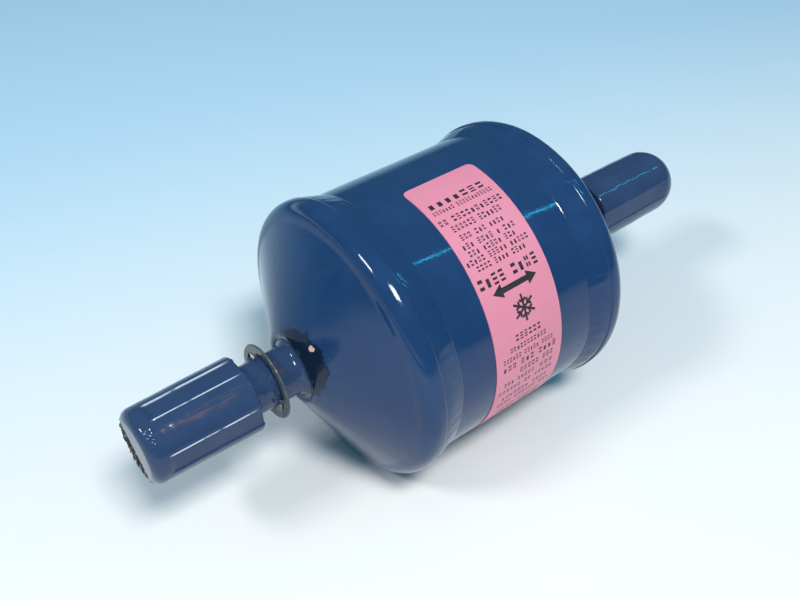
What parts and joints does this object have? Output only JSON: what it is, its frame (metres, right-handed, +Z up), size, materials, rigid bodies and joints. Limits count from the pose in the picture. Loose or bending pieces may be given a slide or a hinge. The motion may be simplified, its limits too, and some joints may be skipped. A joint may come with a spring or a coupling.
{
  "type": "filter drier",
  "caption": "Bi-flow liquid line filter drier: welded steel shell with coned ends, solder fittings under ribbed rubber caps, check valves around a desiccant core.",
  "frame": {"origin": "middle of the shell, on its axis", "axes": "+X along the axis towards the far fitting, +Z up, -Y towards the label's middle"},
  "size_m": [0.1593, 0.0668, 0.0668],
  "materials": {
    "navy_paint": "gloss",
    "painted_fitting": "gloss",
    "painted_spring_steel": "satin",
    "painted_rubber": "gloss",
    "label_sheet": "satin",
    "copper_braze": "satin",
    "bare_steel": "satin",
    "valve_steel": "satin",
    "spring_wire": "satin",
    "bonded_desiccant": "matte",
    "felt": "matte"
  },
  "bodies": {
    "body": {"shell_tube": "navy_paint", "label": "label_sheet", "desiccant_core": "bonded_desiccant", "filter_sleeve": "felt", "centre_tube": "bare_steel", "load_spring": "spring_wire", "keeper_ring": "painted_spring_steel", "end_cap_near": "navy_paint", "weld_bead_near": "navy_paint", "fitting_near": "painted_fitting", "braze_ring_near": "copper_braze", "valve_plate_near": "bare_steel", "inlet_guide_near": "bare_steel", "disc_cage_near": "bare_steel", "core_cup_near": "bare_steel", "core_pad_near": "felt", "spacer_near": "bare_steel", "end_cap_far": "navy_paint", "weld_bead_far": "navy_paint", "fitting_far": "painted_fitting", "braze_ring_far": "copper_braze", "valve_plate_far": "bare_steel", "inlet_guide_far": "bare_steel", "disc_cage_far": "bare_steel", "core_cup_far": "bare_steel", "core_pad_far": "felt", "spacer_far": "bare_steel"},
    "near_seal_cap": {"seal_cap_near": "painted_rubber"},
    "near_inlet_ring": {"inlet_ring_near": "valve_steel"},
    "near_outlet_disc": {"outlet_disc_near": "valve_steel"},
    "far_seal_cap": {"seal_cap_far": "painted_rubber"},
    "far_inlet_ring": {"inlet_ring_far": "valve_steel"},
    "far_outlet_disc": {"outlet_disc_far": "valve_steel"}
  },
  "joints": [
    {"name": "near_cap_pull", "type": "slide", "parent": "body", "child": "near_seal_cap", "axis": [-1, 0, 0], "range_m": [0, 0.06]},
    {"name": "near_outlet_lift", "type": "slide", "parent": "body", "child": "near_outlet_disc", "axis": [-1, 0, 0], "range_m": [0, 0.0016]},
    {"name": "near_inlet_lift", "type": "slide", "parent": "body", "child": "near_inlet_ring", "axis": [1, 0, 0], "range_m": [0, 0.0013]},
    {"name": "far_cap_pull", "type": "slide", "parent": "body", "child": "far_seal_cap", "axis": [1, 0, 0], "range_m": [0, 0.06]},
    {"name": "far_outlet_lift", "type": "slide", "parent": "body", "child": "far_outlet_disc", "axis": [1, 0, 0], "range_m": [0, 0.0016]},
    {"name": "far_inlet_lift", "type": "slide", "parent": "body", "child": "far_inlet_ring", "axis": [-1, 0, 0], "range_m": [0, 0.0013]}
  ]
}
